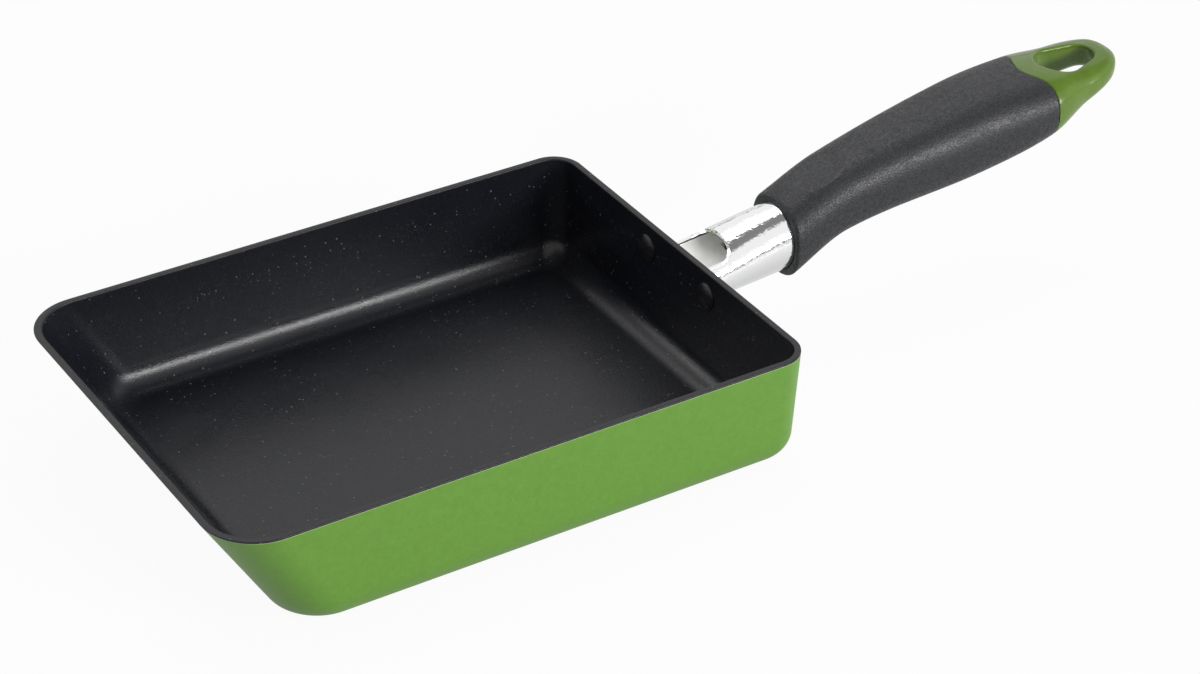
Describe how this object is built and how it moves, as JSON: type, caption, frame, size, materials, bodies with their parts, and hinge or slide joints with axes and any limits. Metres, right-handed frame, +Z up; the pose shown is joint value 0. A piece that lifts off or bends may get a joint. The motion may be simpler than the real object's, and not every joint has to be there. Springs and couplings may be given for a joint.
{
  "type": "rolled omelette pan",
  "caption": "Rectangular rolled-omelette pan: pressed body with one sloped end, steel neck sleeve, moulded grip and a glossy end cap with a hanging eye.",
  "frame": {"origin": "on the plane of the flat base, under the middle of the rim", "axes": "+X from the sloped end towards the handle, +Y to the left of the handle, +Z up"},
  "size_m": [0.344, 0.135, 0.0631],
  "materials": {
    "coated_pan": "satin green enamel outside, dark speckled non-stick inside",
    "rivet": "dark non-stick coating over the heads",
    "bracket_steel": "satin pressed steel",
    "polished_sleeve": "mirror polish",
    "grip_moulding": "fine matt grain",
    "cap_moulding": "glossy green",
    "plated_fastener": "bright zinc plate"
  },
  "bodies": {
    "root": {"pan_body": "coated_pan", "handle_rivets": "rivet", "handle_bracket": "bracket_steel", "neck_sleeve": "polished_sleeve", "grip": "grip_moulding", "end_cap": "cap_moulding", "tie_bolt": "plated_fastener", "bolt_washer": "plated_fastener", "bracket_nut": "plated_fastener"}
  },
  "joints": []
}
